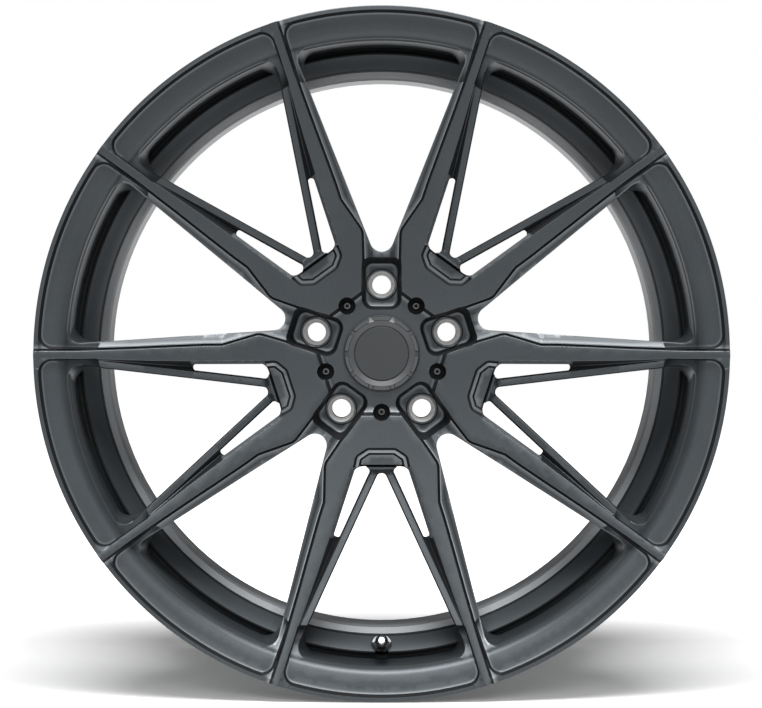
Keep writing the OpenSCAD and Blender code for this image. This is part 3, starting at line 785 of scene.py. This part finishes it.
class Finish:
    """A material with its Principled node, and the procedural fields that drive it."""

    def __init__(self, name, metallic=0.0, coat=0.0):
        self.material = bpy.data.materials.new(name)
        self.material.use_nodes = True
        self.shader = self.material.node_tree.nodes["Principled BSDF"]
        self.set("Metallic", metallic)
        self.set("Coat Weight", coat)
        self.place = self.node("ShaderNodeTexCoord")[3]       # its Object output
        self.x, self.y, self.z = self.node("ShaderNodeSeparateXYZ", {}, {0: self.place})

    def node(self, kind, settings={}, sockets={}):
        return add_node(self.material.node_tree, kind, settings, sockets)

    def set(self, name, value):
        connect(self.material.node_tree, self.shader.inputs[name], value)

    def noise(self, size, detail=2.0, stretch=(1, 1, 1)):
        """Noise from 0 to 1 with features about `size` metres across."""
        mapped = self.node("ShaderNodeMapping", {}, {"Vector": self.place, "Scale": stretch})[0]
        return self.node("ShaderNodeTexNoise", {}, {"Vector": mapped, "Scale": 1 / size, "Detail": detail})[0]

    def blend(self, a, b, field):
        """Colour from a to b, each linear rgb or a Sum, as the field goes from 0 to 1: the Mix
        node's colour sockets are inputs 6 and 7 and output 2."""
        a, b = [value if isinstance(value, Sum) else (*value, 1) for value in (a, b)]
        return self.node("ShaderNodeMix", {"data_type": "RGBA"}, {0: field, 6: a, 7: b})[2]

    def colour(self, low, high, field, pale=None, where=None):
        """Base colour from low to high as the field goes from 0 to 1, and on to `pale`, where the
        field `where` or else the mesh's own "pale" says. The face's "pale" is its painted highlight."""
        base = self.blend(low, high, field)
        if pale is not None:
            where = where or self.node("ShaderNodeAttribute", {"attribute_name": "pale"})[2]  # Fac
            base = self.blend(base, pale, where)
        self.set("Base Color", base)

    def bump(self, field, height):
        """Surface relief of `height` metres from a field of 0 to 1."""
        relief = self.node("ShaderNodeBump", {}, {"Distance": height, "Strength": 1.0, "Height": field})[0]
        self.set("Normal", relief)


def satin(name, low, high, roughness, metallic=0.55, coat=0.25, grain=0.0009, relief=0.000012,
          pale=None, specular=0.5):
    """Powder coat: a fine orange peel over an even colour with a cloudy drift; `pale` is the
    colour it comes up to where the mesh says so, on the face a painted highlight."""
    f = Finish(name, metallic, coat)
    f.set("Coat Roughness", 0.35)
    f.set("Specular IOR Level", specular)
    drift, peel = f.noise(0.07, 3), f.noise(grain, 1)
    f.colour(low, high, (drift * 0.45 + peel * 0.55).step(0.3, 0.7), pale)
    f.set("Roughness", roughness - 0.025 + drift * 0.05)
    f.bump(peel, relief)
    return f.material


# The face's satin coat; its pale colour is the painted highlight on crests, fillets and window edges.
face_coat = satin("face_coat", (0.031, 0.037, 0.042), (0.047, 0.055, 0.061), 0.42,
                  pale=(0.17, 0.183, 0.193))
# Near-black painted shade for the face's groove and recess walls and the rim's groove.
groove_painted_shade = satin("groove_painted_shade", (0.003, 0.004, 0.005), (0.006, 0.007, 0.008), 0.65,
                    metallic=0.0, coat=0.0, specular=0.25)
face.data.materials.append(face_coat)
face.data.materials.append(groove_painted_shade)
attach(face, "wheel")
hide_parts("face_forging")


def revolve(name, loop, materials, coats, turns=360):
    """Closed ring about the axle: each point of the closed loop (radius, depth behind the flange
    plane, both in millimetres) is swept round `turns` angles; side k has coat coats[k]."""
    n = len(loop)
    a = np.linspace(0, 2 * math.pi, turns, endpoint=False)[:, None]
    r, z = loop[None, :, 0], loop[None, :, 1]
    v = np.stack([np.sin(a) * r, np.broadcast_to(z + FLANGE_Y, (turns, n)), np.cos(a) * r], 2)
    i, k = np.meshgrid(np.arange(turns), np.arange(n), indexing="ij")
    j, m = (i + 1) % turns, (k + 1) % n
    quads = np.stack([i * n + k, i * n + m, j * n + m, j * n + k], 2).reshape(-1, 4)
    after = np.roll(loop, -1, 0)
    if (after[:, 0] * loop[:, 1] - loop[:, 0] * after[:, 1]).sum() > 0:
        quads = quads[:, ::-1]
    piece = mesh_object(name, v.reshape(-1, 3) * MM, quads, np.tile(coats, turns))
    for material in materials:
        piece.data.materials.append(material)
    return piece


# The rest of the forging behind the skin: flange, bead seat, the wall beside the windows with its
# deep groove, the ridge and the sloped band down to the joint with the barrel.
CURL_R = 9.5
curl = [(FLANGE_R - CURL_R * (1 - math.cos(t)), 13 - CURL_R * (1 - math.sin(t)), 0, 0)
        for t in np.radians(np.arange(0, 91, 15))]
# Sides with coat 1 are painted shade: in the deep groove, and on the step at the joint with the barrel.
loop_corners = np.array([              # radius, depth, corner radius, coat
    (272.6, 1.7, 0, 0), (FLANGE_R, 2.0, 0, 0), *curl, (257.6, 13, 0, 0), (256.4, 14.2, 1, 0),
    (254.6, 30, 2, 0), (256.7, 34, 2, 0), (254.4, 41, 4, 0), (253.4, 53, 4, 0), (234.6, 66.0, 1, 0),
    (234.6, 69.5, 0, 0), (229.6, 69.5, 0, 1), (229.6, 62.2, 0.3, 1), (230.3, 61.0, 0, 0),
    (240.7, 44.5, 0.7, 1), (242.3, 44.9, 0.5, 1), (242.9, 50.5, 0.8, 1), (246.3, 50.5, 0.8, 0),
    (247.2, 44.0, 1.2, 0), (248.0, 16.6, 1.4, 0), (249.2, 14.75, 0, 0), (251.0, 14.7, 0, 0),
    (252.2, 12.3, 0, 0), (254, 10.6, 0, 0), (257, 9.3, 0, 0), (262, 8.2, 0, 0), (267, 7.2, 0, 0),
    (270, 4.5, 0, 0)])
rim_loop = round_corners(loop_corners[:, :2], loop_corners[:, 2], 0.5)
loop_middles = (rim_loop + np.roll(rim_loop, -1, 0)) / 2
corner_middles = (loop_corners[:, :2] + np.roll(loop_corners[:, :2], -1, 0)) / 2
side_of = ((loop_middles[:, None] - corner_middles) ** 2).sum(2).argmin(1)
rim = revolve("face_forging_rim", rim_loop, [face_coat, groove_painted_shade], loop_corners[side_of, 3])

# The valve's spot faces and hole, and the relief milled into the wall beside it
VALVE = np.array([0, -0.0373, -0.2366])
OUTWARD = np.array([0, -0.970296, 0.241922])


def rod(name, radius, start, end, n=48):
    """Cylinder along the valve's axis, from start to end (metres in front of the spot face)."""
    side = np.cross(OUTWARD, [1.0, 0, 0])
    a = np.linspace(0, 2 * math.pi, n, endpoint=False)[:, None]
    around = (np.cos(a) * [1.0, 0, 0] + np.sin(a) * side) * radius
    v = np.vstack([VALVE + OUTWARD * start + around, VALVE + OUTWARD * end + around])
    i = np.arange(n)
    j = (i + 1) % n
    sides = np.stack([i, i + n, j + n, j], 1).tolist()
    return mesh_object(name, v, sides + [i.tolist(), (i + n)[::-1].tolist()])


def cut_away(piece, cutters):
    """Takes closed cutters out of a closed piece and bakes the result into its mesh."""
    for cutter in cutters:
        m = piece.modifiers.new("cut", "BOOLEAN")
        m.operation, m.solver, m.object = "DIFFERENCE", "MANIFOLD", cutter
    baked = bpy.data.meshes.new_from_object(piece.evaluated_get(bpy.context.evaluated_depsgraph_get()))
    piece.modifiers.clear()
    piece.data = baked
    baked.set_sharp_from_angle(angle=math.radians(28))


relief_span = ((-0.005, 0.005), ((FLANGE_Y + 16.5) * MM, (FLANGE_Y + 50) * MM), (-0.2570, -0.2385))
relief_corners = [(x, y, z) for x in relief_span[0] for y in relief_span[1] for z in relief_span[2]]
relief_sides = [(0, 1, 3, 2), (4, 6, 7, 5), (0, 4, 5, 1), (2, 3, 7, 6), (0, 2, 6, 4), (1, 5, 7, 3)]
cutters = [rod("spot", 0.0085, 0, 0.04), rod("hole", 0.00575, -0.03, 0.002),
           rod("back", 0.0085, -0.035, -0.005), mesh_object("relief", relief_corners, relief_sides, [1] * 6)]
cut_away(rim, cutters)
for cutter in cutters:
    bpy.data.objects.remove(cutter)
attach(rim, "wheel")
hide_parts("face_forging")

# ---------------------------------------------------------------------------------------------
# Inner barrel. Flow formed aluminium, powder coated and seen through the windows. A weld all
# round joins it to the face forging. Its coat is set paler here than the face's: painted light.
# ---------------------------------------------------------------------------------------------
barrel_coat_painted_light = satin("barrel_coat_painted_light", (0.15, 0.16, 0.168), (0.19, 0.20, 0.21), 0.45, metallic=0.3)


def dress(node, material):
    """Gives a part of the frame its material, and that material its slot."""
    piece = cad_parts[node]
    piece.data.materials.clear()
    piece.data.materials.append(material)
    return piece


dress("inner_barrel", barrel_coat_painted_light)
weld_coat = satin("weld_coat", (0.06, 0.065, 0.07), (0.09, 0.095, 0.1), 0.5, grain=0.004, relief=0.0002)
dress("barrel_weld", weld_coat)

# ---------------------------------------------------------------------------------------------
# Lug seats and screws. Turned steel seats, left bare, are pressed into the five lug holes. Five
# small black socket screws sit in the bores between them.
# ---------------------------------------------------------------------------------------------
bare = Finish("seat_steel_turned", metallic=0.35)
rings = bare.noise(0.0006, 2, (1, 12, 1))
seat_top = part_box("lug_seat_1")[0][1]
bare.colour((0.70, 0.70, 0.69), (0.88, 0.88, 0.87), rings,
            (0.16, 0.17, 0.18), 1 - (bare.y - seat_top).step(0.00003, 0.00008))
bare.set("Roughness", 0.24 + rings * 0.12)
for k in range(PAIRS):
    dress(f"lug_seat_{k + 1}", bare.material)


def metal(name, low, high, grain, roughness, spread=0.1, metallic=1.0, detail=2):
    """Drawn or turned metal: a fine grain moves its colour and its roughness together."""
    f = Finish(name, metallic)
    fleck = f.noise(grain, detail)
    f.colour(low, high, fleck)
    f.set("Roughness", roughness + fleck * spread)
    return f.material


screw_black = metal("screw_steel_black", (0.16, 0.17, 0.18), (0.24, 0.25, 0.26), 0.0008, 0.35, 0.15, metallic=0.7)
# The sockets of the screws are drawn near-black: painted shade inside the holes.
socket = Finish("screw_socket_painted_shade", metallic=0.5)
socket.colour((0.004, 0.004, 0.005), (0.010, 0.010, 0.011), socket.noise(0.0008, 2))
socket.set("Roughness", 0.6)


def lathe(name, centres, profile_points, coats, materials, turns=40):
    """Solids of revolution parallel to the axle, one at each centre (x, z in millimetres): each
    profile point (radius, depth behind the flange plane) becomes a ring, or one vertex on the
    axis where the radius is 0."""
    verts, faces, which = [], [], []
    total = 0
    a = np.linspace(0, 2 * math.pi, turns, endpoint=False)
    for cx, cz in centres:
        rows = []
        for r, z in profile_points:
            n = 1 if r == 0 else turns
            ring = [cx + r * np.sin(a[:n]), np.full(n, z + FLANGE_Y), cz + r * np.cos(a[:n])]
            verts.append(np.stack(ring, 1))
            rows.append(np.arange(turns) % n + total)
            total += n
        for k, (low, high) in enumerate(zip(rows[:-1], rows[1:])):
            quads = np.stack([low, np.roll(low, -1), np.roll(high, -1), high], 1)
            if profile_points[k][0] == 0:
                quads = quads[:, [0, 2, 3]]
            elif profile_points[k + 1][0] == 0:
                quads = quads[:, :3]
            faces += quads.tolist()
            which += [coats[k]] * turns
    piece = mesh_object(name, np.vstack(verts) * MM, faces, which)
    for material in materials:
        piece.data.materials.append(material)
    return piece


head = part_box("hub_screws")[0][1] / MM - FLANGE_Y
screw_angles = PAIR_ANGLE * (2 * np.arange(PAIRS) + 1)
screw_places = SCREW_R * np.stack([np.sin(screw_angles), np.cos(screw_angles)], 1)
screw_profile = [(0, head + 1.7), (1.25, head + 1.7), (1.4, head + 0.15), (1.6, head), (2.3, head),
                 (2.8, head + 0.4), (2.8, head + 3), (1.5, head + 3.1), (1.5, head + 14), (0, head + 14)]
# Coat 1, the painted shade, goes on the socket's floor and wall.
screws = lathe("hub_screw_heads", screw_places, screw_profile, [1, 1] + [0] * 7,
               [screw_black, socket.material])
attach(screws, "wheel")
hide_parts("hub_screws")

# ---------------------------------------------------------------------------------------------
# Centre cap. Moulded plastic, satin black: a blank disc in a crown of ten tabs. Fingers pushed
# outwards by a wire ring hold it in the hub's bore.
# ---------------------------------------------------------------------------------------------
cap_plastic = satin("cap_plastic_satin", (0.035, 0.038, 0.041), (0.045, 0.048, 0.052), 0.42,
                    metallic=0.0, coat=0.2, grain=0.0007)
disc_plastic = satin("cap_disc_satin", (0.019, 0.022, 0.024), (0.025, 0.028, 0.031), 0.5,
                     metallic=0.2, coat=0.1, grain=0.0007)
dress("cap_body", cap_plastic)
crown_low, crown_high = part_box("cap_crown_ring")
CROWN_Y = crown_low[1] / MM - FLANGE_Y
CROWN_BACK = crown_high[1] / MM - FLANGE_Y
TABS = 10


def crown():
    """Ring of tabs: radius r runs down the columns and the angle along the rows, with the rows'
    angles bunched so that both edges of every tab lie on a line of the grid. Depth rises inwards
    to a crest; outside it the tabs stay level and the gaps fall away to the edge."""
    radii = np.array([22.1, 22.1, 22.5, 24.4, 26.2, 26.6, 27.0, 28.2, 29.5, 29.8, 30.15, 30.4, 30.8, 30.8])
    half = np.interp(radii, [22, 26.6, 29.7, 31], [5.6, 5.9, 7.6, 8.2])
    edge = np.arcsin(half / radii)
    line = 0.22 / radii
    part = math.pi / TABS
    columns = [-part * (1 - f) + (-edge - line) * f for f in (0, 0.33, 0.66)]
    columns += [-edge - line, -edge + line]
    columns += [(-edge + line) * (1 - f) + (edge - line) * f for f in np.arange(1, 8) / 8]
    columns += [edge - line, edge + line]
    columns += [(edge + line) * (1 - f) + part * f for f in (0.33, 0.66)]
    columns = np.array([np.broadcast_to(c, radii.shape) for c in columns])
    on_tab = (np.abs(columns) <= edge - line + 1e-9)
    slope = np.interp(radii, [22.1, 22.5, 26.2, 26.6], [2.2, 1.7, 0.15, 0.0])
    tab = np.interp(radii, [29.5, 29.8, 30.8], [0.0, 0.35, 2.4])
    gap = np.interp(radii, [26.6, 27.0, 30.15, 30.8], [0.0, 0.35, 1.7, 2.4])
    depth = CROWN_Y + np.where(radii < 26.7, slope, np.where(on_tab, tab, gap))
    depth[:, 0] = depth[:, -1] = CROWN_BACK
    depth = np.minimum(depth, CROWN_BACK)
    n, m = len(columns), len(radii)
    angle = np.concatenate([columns + 2 * part * k for k in range(TABS)])
    depth = np.tile(depth, (TABS, 1))
    v = np.stack([radii * np.sin(angle), depth + FLANGE_Y, radii * np.cos(angle)], 2).reshape(-1, 3) * MM
    i, k = np.meshgrid(np.arange(n * TABS), np.arange(m), indexing="ij")
    j, after = (i + 1) % (n * TABS), (k + 1) % m
    quads = np.stack([i * m + k, i * m + after, j * m + after, j * m + k], 2)
    # painted shade lines, drawn near-black: both flanks of every tab, the crest inside it and the edge outside
    column, first_flank, last_flank = i % n, 3, 12
    dark = ((column == first_flank) | (column == last_flank)) & (k >= 5) & (k < 10)
    dark |= (k == 9) | ((k == 5) & (column > first_flank) & (column < last_flank))
    return v, quads.reshape(-1, 4), dark.reshape(-1)


crown_piece = mesh_object("cap_crown_tabs", *crown())
# Near-black painted shade for the crown's lines.
crown_painted_shade = satin("cap_crown_painted_shade", (0.003, 0.004, 0.005), (0.006, 0.007, 0.008), 0.7,
                   metallic=0.0, coat=0.0, specular=0.2)
crown_piece.data.materials.append(cap_plastic)
crown_piece.data.materials.append(crown_painted_shade)
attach(crown_piece, "centre_cap")
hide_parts("cap_crown_ring")
dress("cap_disc", disc_plastic)
wire = metal("spring_wire", (0.45, 0.45, 0.44), (0.6, 0.6, 0.58), 0.0008, 0.3)
dress("cap_spring_ring", wire)

# ---------------------------------------------------------------------------------------------
# Valve. Clamped through the wall beside the windows: black stem and nut, rubber grommet, bright
# washer, brass core, and a dark dust cap with a bright tip.
# ---------------------------------------------------------------------------------------------
stem_black = satin("valve_black_anodised", (0.012, 0.013, 0.014), (0.02, 0.021, 0.023), 0.35,
                   metallic=0.6, coat=0.0, grain=0.0006)
dress("valve_stem", stem_black)
dress("valve_nut", stem_black)
rubber = satin("valve_rubber_black", (0.010, 0.010, 0.011), (0.018, 0.018, 0.019), 0.75,
               metallic=0.0, coat=0.0, grain=0.0008)
dress("valve_grommet", rubber)
dress("valve_cap_seal", rubber)
zinc = metal("washer_zinc", (0.30, 0.31, 0.32), (0.42, 0.43, 0.44), 0.0007, 0.35, detail=3)
dress("valve_washer", zinc)
brass = metal("core_brass_turned", (0.55, 0.38, 0.14), (0.72, 0.52, 0.22), 0.0005, 0.28)
dress("valve_core_body", brass)
dress("valve_core_pin", brass)
dress("valve_core_spring", wire)
chrome = Finish("valve_chrome_bright", metallic=1.0)
grain = chrome.noise(0.0008, 2)
along = (chrome.y - float(VALVE[1])) * float(OUTWARD[1]) + (chrome.z - float(VALVE[2])) * float(OUTWARD[2])
tip = along.step(0.0347, 0.0350)
chrome.colour((0.10, 0.105, 0.11), (0.16, 0.165, 0.17), grain, (0.92, 0.92, 0.92), tip)
chrome.set("Roughness", 0.34 - tip * 0.12)
dress("valve_cap", chrome.material)

# ---------------------------------------------------------------------------------------------
# Stage. A pale floor under the tyre-less rim, darker in front and lit from within behind. The
# room is white to look at and a dim light, with soft lights above and in front.
# ---------------------------------------------------------------------------------------------
FLOOR_Z = -0.2746
floor_mesh = bpy.data.meshes.new("floor")
floor_mesh.from_pydata([(x, y, FLOOR_Z) for x, y in ((-6, -4), (6, -4), (6, 8), (-6, 8))], [], [(0, 1, 2, 3)])
floor = bpy.data.objects.new("floor", floor_mesh)
bpy.context.scene.collection.objects.link(floor)
ground = Finish("floor_white")
away = (ground.y + ground.noise(0.8, 2) * 0.05).step(-0.8, -0.25)
ground.colour((0.42, 0.42, 0.42), (0.90, 0.90, 0.90), away)
ground.set("Roughness", 0.8)
ground.set("Emission Color", ground.blend((0.10, 0.10, 0.10), (1.0, 1.0, 1.0), ground.y.step(0.25, 0.70)))
ground.set("Emission Strength", 1.0)
floor_mesh.materials.append(ground.material)

world = bpy.data.worlds.new("studio")
world.use_nodes = True
room = world.node_tree.nodes["Background"].inputs
room["Color"].default_value = (1.0, 1.0, 1.0, 1)
seen = add_node(world.node_tree, "ShaderNodeLightPath", {}, {})[0]
connect(world.node_tree, room["Strength"], seen * 0.87 + 0.13)
bpy.context.scene.world = world


def place(name, data, where, target):
    """A lamp or a camera at `where`, its -Z turned to the target and its +Y kept upwards."""
    o = bpy.data.objects.new(name, data)
    o.location = where
    o.rotation_mode = "QUATERNION"
    o.rotation_quaternion = Vector(np.array(target) - np.array(where)).to_track_quat("-Z", "Y")
    bpy.context.scene.collection.objects.link(o)
    return o


def softbox(name, where, size, power):
    lamp = bpy.data.lights.new(name, "AREA")
    lamp.shape, lamp.size, lamp.size_y, lamp.energy = "RECTANGLE", *size, power
    place(name, lamp, where, (0, 0, 0))


softbox("key_above", (0.0, -1.0, 2.1), (1.8, 0.8), 96)
softbox("fill_front", (0.0, -2.7, 1.35), (2.4, 1.3), 44)

VIEW_DISTANCE = 1.75                   # in front of the flange plane
camera = bpy.data.cameras.new("view")
camera.sensor_width, camera.lens, camera.sensor_fit = 36, 105.2, "HORIZONTAL"
bpy.context.scene.camera = place("view", camera, (-0.0005, FLANGE_Y * MM - VIEW_DISTANCE, 0.022),
                                 (-0.0005, FLANGE_Y * MM, 0.0002))
bpy.context.scene.view_settings.view_transform = "Standard"
